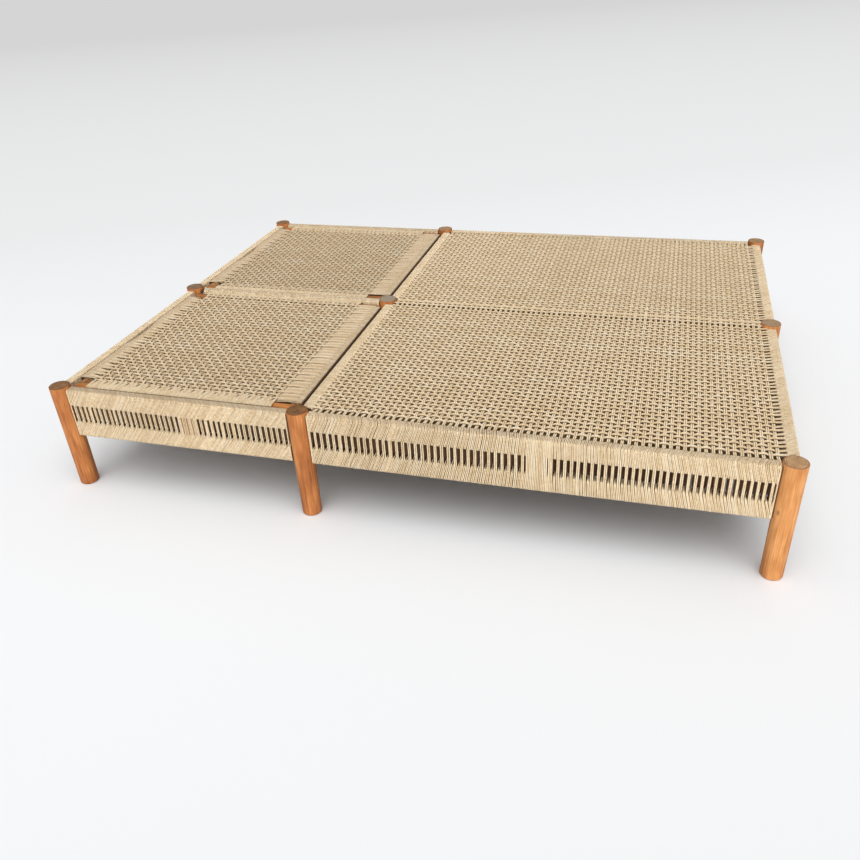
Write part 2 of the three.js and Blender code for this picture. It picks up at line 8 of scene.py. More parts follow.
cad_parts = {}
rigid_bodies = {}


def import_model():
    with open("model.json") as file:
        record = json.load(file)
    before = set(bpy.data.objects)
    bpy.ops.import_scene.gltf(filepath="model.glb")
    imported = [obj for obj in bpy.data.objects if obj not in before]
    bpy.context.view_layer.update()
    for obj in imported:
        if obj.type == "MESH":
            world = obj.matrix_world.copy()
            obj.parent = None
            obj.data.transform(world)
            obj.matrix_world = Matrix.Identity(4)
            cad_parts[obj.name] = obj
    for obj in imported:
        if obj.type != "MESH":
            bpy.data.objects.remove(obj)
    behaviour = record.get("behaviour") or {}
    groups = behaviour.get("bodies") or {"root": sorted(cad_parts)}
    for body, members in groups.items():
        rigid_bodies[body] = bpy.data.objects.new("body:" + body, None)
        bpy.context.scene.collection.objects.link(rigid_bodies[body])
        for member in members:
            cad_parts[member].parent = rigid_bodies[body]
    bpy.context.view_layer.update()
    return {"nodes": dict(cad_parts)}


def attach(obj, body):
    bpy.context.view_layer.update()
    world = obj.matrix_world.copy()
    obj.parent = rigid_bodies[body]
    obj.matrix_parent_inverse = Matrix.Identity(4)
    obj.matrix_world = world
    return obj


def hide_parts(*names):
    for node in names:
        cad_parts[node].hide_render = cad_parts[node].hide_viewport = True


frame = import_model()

# Metres, in the row frame: X right, Y back, Z up, origin on the floor.
# These sizes repeat the ones that the solids are made from. CORD is the cord's radius.
MM = 0.001
COLUMNS = (-977.5 * MM, -237.5 * MM, 977.5 * MM)
ROWS = (-760 * MM, 0.0, 760 * MM)
POST_RADIUS = 28.5 * MM
POST_HEIGHT = 330 * MM
RAIL_HALF = 11 * MM
UPPER_RAIL = (275 * MM, 319 * MM)
LOWER_RAIL = (175 * MM, 219 * MM)
WRAP_SETBACK = 28.8 * MM
CROSS_RAIL_X = COLUMNS[1] + 15 * MM
CORD = 2 * MM
HINGE_LEVEL = 302 * MM
PANEL_RADIUS = 17 * MM
PANEL_INSET = 39 * MM
PANEL_ENDS = (-941 * MM, -263.5 * MM)
PANEL_BAR = (-960.5 * MM, -248.5 * MM)
PANEL_WRAP = (-902.5 * MM, -322.5 * MM)
BARE_CORNER = 15 * MM
SCOOP_LENGTH = 200 * MM
SCOOP_DEPTH = 13 * MM

rng = np.random.default_rng(7)


# Camera
CAMERA_TURN = (-17.54785, 31.67197, -3.36375)
CAMERA_PLACE = (0.641962, -2.394013, 1.369081)
CAMERA_LENS = 33.486


def add_camera():
    """The photograph's camera. Its turn is to the right, down and over, in degrees."""
    yaw, pitch, roll = CAMERA_TURN
    turn = Matrix.Identity(4)
    for angle, axis in ((-yaw, "Z"), (90 - pitch, "X"), (roll, "Z")):
        turn = turn @ Matrix.Rotation(math.radians(angle), 4, axis)
    camera = bpy.data.objects.new("camera", bpy.data.cameras.new("camera"))
    camera.data.sensor_width = 36
    camera.data.lens = CAMERA_LENS
    camera.data.clip_end = 500
    camera.matrix_world = Matrix.Translation(CAMERA_PLACE) @ turn
    bpy.context.scene.collection.objects.link(camera)
    bpy.context.scene.camera = camera


# Node helpers
class Nodes:
    """Builds the node tree of a new material or world."""

    def __init__(self, name, family="materials"):
        self.owner = getattr(bpy.data, family).new(name)
        self.owner.use_nodes = True
        self.tree = self.owner.node_tree
        self.tree.nodes.clear()

    def add(self, kind, inputs=None, **settings):
        node = self.tree.nodes.new("ShaderNode" + kind)
        for key, value in settings.items():
            setattr(node, key, value)
        for key, value in (inputs or {}).items():
            self.feed(node, key, value)
        return node

    def feed(self, node, key, value):
        if isinstance(value, bpy.types.NodeSocket):
            self.tree.links.new(value, node.inputs[key])
        else:
            node.inputs[key].default_value = value

    def math(self, operation, *values, clamp=False):
        node = self.add("Math", dict(enumerate(values)), operation=operation, use_clamp=clamp)
        return node.outputs[0]

    def plus(self, a, b):
        return self.math("ADD", a, b)

    def times(self, a, b):
        return self.math("MULTIPLY", a, b)

    def mix(self, share, a, b, blend="MIX"):
        node = self.add("Mix", data_type="RGBA", blend_type=blend)
        for key, value in ((0, share), (6, a), (7, b)):
            self.feed(node, key, value)
        return node.outputs[2]

    def ramp(self, share, stops):
        node = self.add("ValToRGB", {0: share})
        elements = node.color_ramp.elements
        while len(elements) < len(stops):
            elements.new(0.5)
        for element, (place, color) in zip(elements, stops):
            element.position = place
            element.color = color
        return node.outputs[0]

    def noise(self, vector, scale, detail, rough=0.55, stretch=None):
        if stretch:
            vector = self.add("Mapping", {"Vector": vector, "Scale": stretch}).outputs[0]
        inputs = {"Vector": vector, "Scale": scale, "Detail": detail, "Roughness": rough}
        return self.add("TexNoise", inputs).outputs["Fac"]

    def where(self):
        """The place in the piece's own frame."""
        return self.add("TexCoord").outputs["Object"]

    def read(self, name, output="Fac"):
        return self.add("Attribute", attribute_name=name).outputs[output]

    def bump(self, height, distance, strength):
        return self.add("Bump", {"Height": height, "Distance": distance, "Strength": strength}).outputs[0]

    def principled(self, color, rough, normal=None, **constants):
        inputs = {"Base Color": color, "Roughness": rough}
        if normal is not None:
            inputs["Normal"] = normal
        inputs.update({key.replace("_", " "): value for key, value in constants.items()})
        shader = self.add("BsdfPrincipled", inputs)
        self.add("OutputMaterial", {0: shader.outputs[0]})
        return self.owner


def rgb(red, green, blue):
    """A colour written as it looks on screen, from 0 to 255, as linear values."""
    def linear(value):
        value /= 255
        return value / 12.92 if value <= 0.04045 else ((value + 0.055) / 1.055) ** 2.4
    return (linear(red), linear(green), linear(blue), 1.0)


# Materials
POST_WOOD = rgb(122, 64, 24), rgb(168, 102, 50), rgb(200, 134, 76)
PALE_POST_WOOD = rgb(160, 96, 44), rgb(202, 138, 78), rgb(226, 168, 110)
# Rail wood, painted dark for the shade inside the cords.
RAIL_WOOD = rgb(44, 28, 16), rgb(70, 46, 26), rgb(96, 66, 40)
STRUT_WOOD = rgb(130, 84, 46), rgb(170, 118, 72), rgb(192, 140, 92)
STUB_WOOD = rgb(100, 58, 22), rgb(150, 92, 38), rgb(186, 118, 56)
END_RAIL_WOOD = rgb(96, 64, 34), rgb(140, 96, 54), rgb(170, 120, 72)
KNOT_SQUASH = 0.6
KNOT_RADIUS = 6 * MM
FLOOR_LEVELS = (0.0, 242, 1), (0.1, 249, 2), (0.2, 245, 2), (0.29, 236, 0), (1.0, 213, -1)


def cord_material():
    """Twisted cord. Its ply gives the grooves and their painted shade, its tone the tint and its shade
    attribute how much painted shade darkens it.
    """
    n = Nodes("cord")
    where = n.where()
    ridge = n.math("ABSOLUTE", n.math("SINE", n.times(n.read("ply"), math.pi)))
    groove = n.math("POWER", ridge, 0.6)
    fibre = n.noise(where, 900, 2)
    cloud = n.noise(where, 14, 3)
    lumps = n.math("SUBTRACT", n.noise(where, 170, 2), 0.5)
    value = n.plus(n.times(n.read("tone"), 0.5), n.times(cloud, 0.5))
    value = n.plus(value, n.times(lumps, 1.6))
    base = n.ramp(value, [(0.1, rgb(218, 192, 150)), (0.5, rgb(240, 218, 180)), (0.9, rgb(250, 238, 210))])
    # Painted shade in the grooves between the plies.
    base = n.mix(groove, n.mix(1.0, base, rgb(176, 150, 116), "MULTIPLY"), base)
    base = n.mix(n.times(fibre, 0.25), base, rgb(190, 164, 124))
    # Painted shade: the shade attribute darkens the cord towards this brown.
    base = n.mix(n.read("shade"), base, n.mix(1.0, base, rgb(96, 70, 34), "MULTIPLY"))
    height = n.plus(groove, n.times(fibre, 0.35))
    rough = n.plus(0.62, n.times(fibre, 0.25))
    return n.principled(base, rough, n.bump(height, 0.4 * MM, 0.9), Sheen_Weight=0.1, Sheen_Roughness=0.5)


def wood_base(n, where, dark, middle, pale, grain, along):
    """Streaked wood colour, with the fine and the coarse streaks that it is made of."""
    stretch = {"X": (0.05, 1, 1), "Y": (1, 0.05, 1), "Z": (1, 1, 0.05)}[along]
    streak = n.noise(where, 190, 5, 0.6, stretch)
    fine = n.noise(where, 700, 3, 0.6, stretch)
    patch = n.noise(where, 22, 2, 0.5, tuple(0.35 if s < 1 else 1 for s in stretch))
    value = n.plus(n.times(streak, 0.5), n.times(patch, 0.5))
    base = n.ramp(value, [(0.35, dark), (0.5, middle), (0.66, pale)])
    base = n.mix(n.times(n.math("GREATER_THAN", fine, 0.6), grain), base, dark)
    return base, streak, fine


def seeded(n):
    return n.add("VectorMath", {0: n.where(), 1: n.read("seed", "Vector")}, operation="ADD").outputs[0]


def wood_finish(n, base, streak, fine, rough_from):
    height = n.plus(n.times(streak, 0.6), n.times(fine, 0.4))
    rough = n.plus(rough_from, n.times(fine, 0.25))
    return n.principled(base, rough, n.bump(height, 0.5 * MM, 0.5), Specular_IOR_Level=0.35)


def wood_material(name, dark, middle, pale, grain, rough_from, along="Z"):
    n = Nodes(name)
    base, streak, fine = wood_base(n, seeded(n), dark, middle, pale, grain, along)
    return wood_finish(n, base, streak, fine, rough_from)


def post_material():
    """Orange wood that is paler on some posts, with one small knot on the front right post."""
    n = Nodes("post_wood")
    where = seeded(n)
    base, streak, fine = wood_base(n, where, *POST_WOOD, 0.45, "Z")
    light, _, _ = wood_base(n, where, *PALE_POST_WOOD, 0.35, "Z")
    base = n.mix(n.read("paleness"), base, light)
    squash = n.add("VectorMath", {0: n.where(), 1: (1, 1, KNOT_SQUASH)}, operation="MULTIPLY")
    off = n.add("VectorMath", {0: squash.outputs[0], 1: n.read("knot", "Vector")}, operation="DISTANCE")
    knot = n.math("SUBTRACT", 1.0, n.math("DIVIDE", off.outputs["Value"], KNOT_RADIUS), clamp=True)
    base = n.mix(n.times(knot, 0.8), base, rgb(88, 46, 20))
    return wood_finish(n, base, streak, fine, 0.48)


def rail_material(name, along):
    """Wood inside the cords, painted dark for the shade there; the struts between the rails are paler."""
    n = Nodes(name)
    where = n.where()
    base, streak, fine = wood_base(n, where, *RAIL_WOOD, 0.4, along)
    strut, _, _ = wood_base(n, where, *STRUT_WOOD, 0.4, "Z")
    height = n.add("SeparateXYZ", {0: where}).outputs[2]
    above = n.math("GREATER_THAN", height, LOWER_RAIL[1] + 1 * MM)
    below = n.math("LESS_THAN", height, UPPER_RAIL[0] - 0.4 * MM)
    base = n.mix(n.times(above, below), base, strut)
    return wood_finish(n, base, streak, fine, 0.55)


def end_grain_material():
    """Grain on top of the posts, paler or darker by age, greyer on some and with a dark rim."""
    n = Nodes("post_end_grain")
    where = n.where()
    parts = n.add("SeparateXYZ", {0: where}).outputs
    radius = n.math("SQRT", n.plus(n.math("POWER", parts[0], 2), n.math("POWER", parts[1], 2)))
    warp = n.noise(seeded(n), 60, 3)
    bent = n.plus(radius, n.times(warp, 0.012))
    rings = n.math("ABSOLUTE", n.math("SINE", n.times(bent, 700)))
    grit = n.noise(seeded(n), 260, 4)
    mottle = n.noise(seeded(n), 70, 3)
    value = n.plus(n.times(rings, 0.25), n.times(grit, 0.35))
    value = n.plus(value, n.times(mottle, 0.4))
    pale = n.ramp(value, [(0.3, rgb(112, 74, 42)), (0.5, rgb(170, 132, 92)), (0.7, rgb(210, 176, 134))])
    dark = n.ramp(value, [(0.3, rgb(48, 26, 8)), (0.5, rgb(94, 60, 26)), (0.7, rgb(138, 98, 54))])
    base = n.mix(n.read("age"), pale, dark)
    base = n.mix(n.times(n.read("grey"), 0.75), base, rgb(134, 128, 112))
    rim = n.math("SUBTRACT", radius, POST_RADIUS * 0.84)
    rim = n.math("MULTIPLY", rim, 1 / (POST_RADIUS * 0.16), clamp=True)
    base = n.mix(n.times(rim, 0.75), base, rgb(112, 60, 28))
    rough = n.plus(0.6, n.times(grit, 0.3))
    return n.principled(base, rough, n.bump(value, 0.5 * MM, 0.6), Specular_IOR_Level=0.3)


def steel_material():
    n = Nodes("steel")
    grain = n.noise(n.where(), 500, 3, 0.6, (0.1, 1, 1))
    base = n.ramp(grain, [(0.3, rgb(96, 96, 98)), (0.7, rgb(138, 138, 140))])
    rough = n.plus(0.28, n.times(grain, 0.2))
    return n.principled(base, rough, n.bump(grain, 0.05 * MM, 0.4), Metallic=1.0)


def floor_material():
    """A pale floor with painted light round the object and painted shade far behind, most of all on the
    left. Each of its levels is a place on the way back, a grey and how much more blue than red is in it."""
    n = Nodes("floor")
    where = n.where()
    parts = n.add("SeparateXYZ", {0: where}).outputs
    slant = n.math("SUBTRACT", parts[1], n.times(parts[0], 0.5))
    far = n.math("DIVIDE", n.plus(slant, 3.0), 20.0, clamp=True)
    stops = [(place, rgb(grey, grey + cool / 2, grey + cool)) for place, grey, cool in FLOOR_LEVELS]
    base = n.ramp(far, stops)
    cloud = n.noise(where, 0.4, 2)
    base = n.mix(n.times(cloud, 0.02), base, rgb(225, 225, 225))
    return n.principled(base, 0.85, Specular_IOR_Level=0.0)


# Mesh helpers
def mesh_object(name, verts, faces, materials):
    """A mesh from its vertices and arrays of faces, each with its own number of corners."""
    corners = np.concatenate([group.ravel() for group in faces])
    totals = np.concatenate([np.full(len(group), group.shape[1]) for group in faces])
    mesh = bpy.data.meshes.new(name)
    mesh.vertices.add(len(verts))
    mesh.vertices.foreach_set("co", np.asarray(verts, np.float32).ravel())
    mesh.loops.add(len(corners))
    mesh.loops.foreach_set("vertex_index", np.asarray(corners, np.int32))
    starts = np.concatenate(([0], np.cumsum(totals)[:-1])).astype(np.int32)
    mesh.polygons.add(len(totals))
    mesh.polygons.foreach_set("loop_start", starts)
    mesh.update(calc_edges=True)
    mesh.polygons.foreach_set("use_smooth", np.ones(len(totals), bool))
    for material in materials:
        mesh.materials.append(material)
    piece = bpy.data.objects.new(name, mesh)
    bpy.context.scene.collection.objects.link(piece)
    return piece


def attribute(mesh, name, kind, domain, values):
    layer = mesh.attributes.new(name, kind, domain)
    field = "vector" if kind == "FLOAT_VECTOR" else "value"
    layer.data.foreach_set(field, np.asarray(values, np.float32).ravel())


def unit(vectors):
    return vectors / np.maximum(np.linalg.norm(vectors, axis=-1, keepdims=True), 1e-12)


# The shade of a cord's six edges: none on the two outer ones, most on the two underneath
SIDES = 6
EDGE_SHADE = np.array([0.75, 0.0, 0.0, 0.75, 0.9, 0.9])

PLY_PITCH = 18 * MM
PLIES = 3
UP = np.array([0, 0, 1.0])


def tube_points(batch):
    """Rings of vertices round many centrelines at once: a batch's points are (strand, step, 3)."""
    points = batch["points"]
    if batch.get("closed"):
        ahead = np.roll(points, -1, 1) - np.roll(points, 1, 1)
    else:
        ahead = np.gradient(points, axis=1)
    ahead = unit(ahead)
    side = unit(np.cross(ahead, batch["ups"]))
    up = np.cross(side, ahead)
    angles = np.arange(SIDES) * 2 * np.pi / SIDES
    rings = points[:, :, None] + side[:, :, None] * (batch["wide"] * np.cos(angles)[:, None])
    return rings + up[:, :, None] * (batch["flat"] * np.sin(angles)[:, None])


def tube_faces(strands, steps, closed, offset, sides=SIDES):
    """Corner indices of the quads of a batch of tubes, and of the caps where they are open."""
    spans = steps if closed else steps - 1
    s, j, k = np.meshgrid(np.arange(strands), np.arange(spans), np.arange(sides), indexing="ij")
    following, around = (j + 1) % steps, (k + 1) % sides
    base = s * steps * sides + offset
    here, ahead = base + j * sides, base + following * sides
    quads = np.stack([here + k, here + around, ahead + around, ahead + k], -1).reshape(-1, 4)
    if closed:
        return quads, np.zeros((0, sides), int)
    starts = np.arange(strands)[:, None] * steps * sides + offset
    ring = np.arange(sides)[None]
    return quads, np.concatenate([starts + ring[:, ::-1], starts + (steps - 1) * sides + ring])


def ply_of(points, closed):
    """The turns of the cord's twist at each corner of a batch's quads."""
    strands, steps = points.shape[:2]
    lengths = np.linalg.norm(np.diff(points, axis=1, append=points[:, :1]), axis=2)
    along = np.concatenate([np.zeros((strands, 1)), np.cumsum(lengths, 1)], 1) / PLY_PITCH * PLIES
    along += rng.random((strands, 1)) * PLIES
    spans = steps if closed else steps - 1
    turn = np.arange(SIDES) * PLIES / SIDES
    step = PLIES / SIDES
    this, after = along[:, :spans, None] + turn, along[:, 1:spans + 1, None] + turn
    return np.stack([this, this + step, after + step, after], -1).reshape(-1)


def cord_piece(name, body, batches, nodes):
    """One object from batches of strands, which stands for the named CAD nodes."""
    batches = [b for b in batches if len(b["points"])]
    verts, quads, caps, plies, tones, shades = [], [], [], [], [], []
    offset = 0
    for b in batches:
        strands, steps = b["points"].shape[:2]
        closed = b.get("closed", False)
        verts.append(tube_points(b).reshape(-1, 3))
        sides, ends = tube_faces(strands, steps, closed, offset)
        quads.append(sides)
        caps.append(ends)
        plies.append(ply_of(b["points"], closed))
        tones.append(np.repeat(b["tone"], steps * SIDES))
        shade = np.broadcast_to(b["shade"], (strands, steps))[..., None]
        shades.append(np.maximum(shade, EDGE_SHADE * b.get("edge", 1.0)).ravel())
        offset += strands * steps * SIDES
    quads, caps = np.concatenate(quads), np.concatenate(caps)
    piece = mesh_object(name, np.concatenate(verts), [quads, caps], [MATERIALS["cord"]])
    plies.append(np.zeros(caps.size))
    attribute(piece.data, "ply", "FLOAT", "CORNER", np.concatenate(plies))
    attribute(piece.data, "tone", "FLOAT", "POINT", np.concatenate(tones))
    attribute(piece.data, "shade", "FLOAT", "POINT", np.concatenate(shades))
    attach(piece, body)
    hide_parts(*nodes)


def wander(strands, steps, amount, waves=3):
    """Smooth seeded sideways wander of each strand along its steps."""
    t = np.linspace(0, 1, steps)[None, :, None]
    k = np.arange(1, waves + 1)[None, None]
    phase = rng.random((strands, 1, waves)) * 2 * np.pi
    size = rng.normal(0, 1, (strands, 1, waves)) / np.sqrt(k)
    return amount * (size * np.sin(2 * np.pi * k * t * 1.7 + phase)).sum(2) / math.sqrt(waves)


def smooth(value, start, stop):
    """0 at start, 1 at stop, with soft ends."""
    t = np.clip((value - start) / (stop - start), 0, 1)
    return t * t * (3 - 2 * t)


def evenly(start, stop, pitch):
    """Places between start and stop, as near to the pitch as fills that length."""
    count = int(round((stop - start) / pitch))
    return start + (np.arange(count) + 0.5) * (stop - start) / count


def graded(first, last, count, share):
    """count places from first to last, whose pitch shrinks evenly from share to 2 - share of the mean."""
    steps = np.linspace(share, 2 - share, count - 1)
    steps *= (last - first) / steps.sum()
    return first + np.concatenate([[0], np.cumsum(steps)])


def within(places, first, last):
    return places[(places > first) & (places < last)]


# Wrapped rails and aprons
CORNER = 5 * MM
INNER_CORNER = 1.2 * MM
FLAT_HALF = 3 * MM
GATHER = 0.93
BAND_PAIR = 1.85 * MM
BAND_FORM = {"wide": CORD * 0.92, "sunk": 0.5 * MM}
LOOP_PITCH = 4.1 * MM
GROUP_PITCH = 4.2 * MM
# TOP_SHADE and LEFT_TOP_SHADE are painted shade on the rails' tops, more on the left bay's front and back.
TOP_SHADE = 0.16
LEFT_TOP_SHADE = 0.42
HALF = RAIL_HALF + CORD
UPPER_LOOP = (UPPER_RAIL[0] - CORD, UPPER_RAIL[1] + CORD)
LOWER_LOOP = (LOWER_RAIL[0] - CORD, LOWER_RAIL[1] + CORD)
BOTH_LOOP = (LOWER_LOOP[0], UPPER_LOOP[1])
ONE_RAIL_HEIGHTS = (12 * MM, 24 * MM, 36 * MM)
BOTH_RAILS_HEIGHTS = tuple(h * MM for h in (16, 33, 48, 55, 62, 74, 86, 93, 100, 117, 133))
SPREAD_BELOW = (221 * MM, 233 * MM)
SPREAD_ABOVE = (273 * MM, 261 * MM)

# Along an apron, from its first post: the lean of the lay, how forked its slots are, its painted shade
LONG_LAY = (0.5, 0.42, 0.2, -0.05, -0.25, -0.3), (0, 0.1, 0.5, 0.9, 1), (0.13, 0.12, 0.02, 0, 0)
SHORT_LAY = (0.72, 0.75, 0.75), (0, 0.1), (0.12, 0.12)


def rounded_path(loop, heights):
    """Places and outward normals round a rail's section, v outwards and z up, from its top."""
    z0, z1 = loop
    points, normals = [], []

    def line(places, normal):
        points.extend(places)
        normals.extend([normal] * len(places))

    def bend(v, z, start, r):
        """A quarter turn of radius r in the corner at v, z."""
        cv, cz = v - math.copysign(r, v), z - r if z == z1 else z + r
        for a in np.radians([start, start - 30, start - 60, start - 90]):
            points.append((cv + r * math.cos(a), cz + r * math.sin(a)))
            normals.append((math.cos(a), math.sin(a)))

    line([(-FLAT_HALF, z1), (FLAT_HALF, z1)], (0, 1))
    bend(HALF, z1, 90, CORNER)
    line([(HALF, z0 + h) for h in heights[::-1]], (1, 0))
    bend(HALF, z0, 0, CORNER)
    line([(FLAT_HALF, z0), (-FLAT_HALF, z0)], (0, -1))
    bend(-HALF, z0, -90, CORNER)
    line([(-HALF, z0 + h) for h in heights], (-1, 0))
    bend(-HALF, z1, -180, INNER_CORNER)
    return np.array(points), np.array(normals)


def lean_reach(v, z):
    """How far the lay of the cords has shifted at a point of a loop, for a lean of 1."""
    outer = 0.3 + 0.7 * np.clip((v + HALF) / (2 * HALF), 0, 1)
    upper = np.clip(z - UPPER_LOOP[0], 0, None)
    lower = np.clip(LOWER_LOOP[1] - z, 0, None)
    return (upper - lower) * outer


class Side:
    """A run of rail from post to post: u along it, v outwards, on the right of that way, and z up."""

    def __init__(self, first, last):
        way = np.subtract(last, first)
        self.length = np.abs(way).sum()
        self.t = np.append(way / self.length, 0)
        self.n = np.array([self.t[1], -self.t[0], 0])
        self.origin = np.append(first, 0)

    def place(self, u, v, z):
        u, v, z = (a[..., None] for a in np.broadcast_arrays(u, v, z))
        return self.origin + u * self.t + v * self.n + z * UP


def on_top(v, z, most=TOP_SHADE):
    """Painted shade on the top of the rails, as a share of shade."""
    return np.where(z > UPPER_LOOP[1] - 0.5 * MM, most * smooth(v, HALF - 1 * MM, HALF - 6 * MM), 0.0)


def loops(side, u, loop, lean, heights=ONE_RAIL_HEIGHTS, pull=None, wide=CORD * 0.93, sunk=0.0, shade=None):
    """Closed loops of cord round one rail, or round both, with their middles at u along the side."""
    path, normals = rounded_path(loop, heights)
    v, z = path[:, 0], path[:, 1]
    uu = u[:, None] + lean[:, None] * lean_reach(v, z)[None] + wander(len(u), len(v), 0.25 * MM)
    if pull is not None:
        uu = uu + pull(v, z)
    low, high = WRAP_SETBACK + wide, side.length - WRAP_SETBACK - wide
    past = np.abs(uu - np.clip(uu, low, high))
    depth = rng.normal(0, 0.15 * MM, (len(u), 1)) - np.minimum(past * 0.08, 0.8 * MM) - sunk
    vv = v[None] + normals[None, :, 0] * depth
    zz = z[None] + normals[None, :, 1] * depth
    return {
        "points": side.place(np.clip(uu, low, high), vv, zz),
        "ups": normals[:, :1] * side.n + normals[:, 1:] * UP,
        "wide": wide,
        "flat": CORD * 0.93,
        "closed": True,
        "tone": rng.random(len(u)),
        "shade": on_top(v, z) if shade is None else shade(v, z),
    }


def groups_between(slots, widths, start, stop):
    """Places of the cords between the slots, the places they spread to inside, and the inner gaps."""
    edges = np.concatenate([[start], slots, [stop]])
    gaps = np.concatenate([[0.0], widths, [0.0]])
    outer, inner, fillers = [], [], []
    for a, b, gap_a, gap_b in zip(edges[:-1], edges[1:], gaps[:-1], gaps[1:]):
        low, high = a + gap_a / 2, b - gap_b / 2
        count = max(1, int(round((high - low) / GROUP_PITCH)))
        share = (np.arange(count) + 0.5) / count
        outer.append(low + (high - low) * share)
        inner.append(a + (b - a) * share)
        middle = (low + high) / 2
        outer[-1] = middle + (outer[-1] - middle) * (GATHER if count < 4 else 1)
        fillers.append(a + (b - a) * np.arange(count) / count)
    return np.concatenate(outer), np.concatenate(inner), np.concatenate(fillers)


def slot_cords(slots, widths):
    """Places of the cords over and under the slots, and the side of the slot that each is on."""
    places, hands = [], []
    for s, w in zip(slots, widths):
        if w > 5 * MM:
            places += [s - BAND_PAIR, s + BAND_PAIR]
            hands += [-1, 1]
        else:
            places.append(s)
            hands.append(0)
    return np.array(places), np.array(hands)


def past_ends(start, stop, first_lean, last_lean):
    """Places past both ends of a rail for the cords that their lean brings into view there."""
    places = []
    for end, direction, lean in ((start, -1, first_lean), (stop, 1, -last_lean)):
        count = max(0, math.ceil(lean * (UPPER_LOOP[1] - UPPER_LOOP[0]) / LOOP_PITCH))
        places.append(end + direction * (np.arange(count) + 0.5) * LOOP_PITCH)
    return np.concatenate(places)


def at_steps(values, side, u):
    """The value at u, from values at even steps along the side."""
    return np.interp(u / side.length, np.linspace(0, 1, len(values)), values)


def inner_strands(side, places, keep, gloom):
    """Short upright cords that close the inner side between the rails, darkened with painted shade. keep is
    the share of them that is there in the last fifth of the side, and gloom their share of painted shade."""
    places = places[(rng.random(len(places)) < keep) | (places < side.length * 0.8)]
    z = np.linspace(LOWER_RAIL[1] - 2 * MM, UPPER_RAIL[0] + 2 * MM, 5)
    uu = places[:, None] + wander(len(places), len(z), 0.3 * MM)
    return {"points": side.place(uu, 0.6 * MM - HALF, z[None]), "ups": -side.n, "wide": CORD * 1.35,
            "flat": CORD * 0.8, "tone": rng.random(len(places)), "shade": gloom}


def apron(name, side, slots, widths, lay, keep, gloom):
    """The cords of one side of the frame. lay gives values at even steps along the side: the slope of
    the cords, 1 where the cords under a slot close up towards its foot, and the share of shade.
    gloom is the share of shade on the inner side between the rails."""
    lean, forked, painted_shade_share = lay
    start, stop = WRAP_SETBACK + CORD, side.length - WRAP_SETBACK - CORD
    outer, inner, fillers = groups_between(slots, widths, start - CORD, stop + CORD)
    bands, hands = slot_cords(slots, widths)
    fork = np.clip(at_steps(forked, side, bands) + rng.normal(0, 0.25, len(bands)), 0, 1)
    top = LEFT_TOP_SHADE if name.endswith("left") else TOP_SHADE

    def spread_inside(v, z):
        share = np.where(v < 0, smooth(z, *SPREAD_BELOW) * smooth(z, *SPREAD_ABOVE), 0)
        return (inner - outer)[:, None] * share[None]

    def foot(v, z):
        high = np.clip(1 - (LOWER_LOOP[1] - z) / (26 * MM), 0, 1)[None]
        return hands[:, None] * (1 - 2 * fork)[:, None] * 0.8 * MM * high

    # Painted shade of the cords at u: the painted shade on the rails' tops or the side's own painted shade
    # along it, whichever is more.
    def painted_shade_along(u):
        own = at_steps(painted_shade_share, side, u)[:, None]
        return lambda v, z: np.maximum(on_top(v, z, top), own)

    # Painted shade on the outer cords where they pass between the rails on the inner side.
    def inside(v, z):
        hidden = (v < 0) & (z > LOWER_LOOP[1]) & (z < UPPER_LOOP[0])
        return np.where(hidden, gloom, painted_shade_along(outer)(v, z))

    def wrap(u, loop, shade, **more):
        return loops(side, u, loop, at_steps(lean, side, u), shade=shade, **more)

    upper_more = past_ends(start, stop, lean[0], lean[-1])
    lower_more = past_ends(start, stop, -lean[0], -lean[-1])
    batches = [
        wrap(outer, BOTH_LOOP, inside, heights=BOTH_RAILS_HEIGHTS, pull=spread_inside, wide=CORD * 1.02),
        wrap(bands, UPPER_LOOP, painted_shade_along(bands), **BAND_FORM),
        wrap(bands, LOWER_LOOP, painted_shade_along(bands), pull=foot, **BAND_FORM),
        wrap(upper_more, UPPER_LOOP, painted_shade_along(upper_more)),
        wrap(lower_more, LOWER_LOOP, painted_shade_along(lower_more)),
        inner_strands(side, fillers, keep, gloom),
    ]
    cord_piece("apron_" + name, "frame", batches, ["apron_cord_" + name])


def long_slots():
    slots = [np.linspace(40.7, 592.8, 33), [606.5, 662.7], graded(679.5, 1183, 33, 1.05)]
    slots = np.concatenate(slots) * MM
    widths = np.full(len(slots), 7.8 * MM)
    widths[33:35] = 4 * MM, 1.5 * MM
    return slots, widths


def short_slots(last, count):
    slots = [np.linspace(37.5, 374.5, 22), [390.5, 406.7, 421], np.linspace(441.3, last, count)]
    slots = np.concatenate(slots) * MM
    widths = np.full(len(slots), 6.4 * MM)
    widths[22:25] = 2 * MM
    return slots, widths


def make_aprons():
    """The aprons, named in their order round the frame from the front left post."""
    left, middle, right = COLUMNS
    front, centre, back = ROWS
    posts = [(left, front), (middle, front), (right, front), (right, centre), (right, back),
             (middle, back), (left, back), (left, centre)]
    names = ("front_left", "front_right", "right_front", "right_back", "back_right", "back_left",
             "left_back", "left_front")
    for name, first, last in zip(names, posts, posts[1:] + posts[:1]):
        side = Side(first, last)
        if name in ("front_right", "back_right"):
            (slots, widths), lay, keep, gloom = long_slots(), LONG_LAY, 0.85, 1.0
        else:
            ending = (702.8, 17) if name in ("front_left", "back_left") else (723, 18)
            (slots, widths), lay, keep, gloom = short_slots(*ending), SHORT_LAY, 1.0, 0.82
        widths = widths * rng.normal(1, 0.06, len(widths))
        slots = slots + rng.normal(0, 0.35 * MM, len(slots))
        if name.startswith("back"):
            slots, widths = side.length - slots[::-1], widths[::-1]
            lean, forked, painted_shade_share = (values[::-1] for values in lay)
            lay = tuple(-a for a in lean), forked, painted_shade_share
        apron(name, side, slots, widths, lay, keep, gloom)


def even_wrap(side, lean=0.0, shade=None):
    u = evenly(WRAP_SETBACK, side.length - WRAP_SETBACK, LOOP_PITCH)
    return loops(side, u, UPPER_LOOP, np.full(len(u), lean), shade=shade)


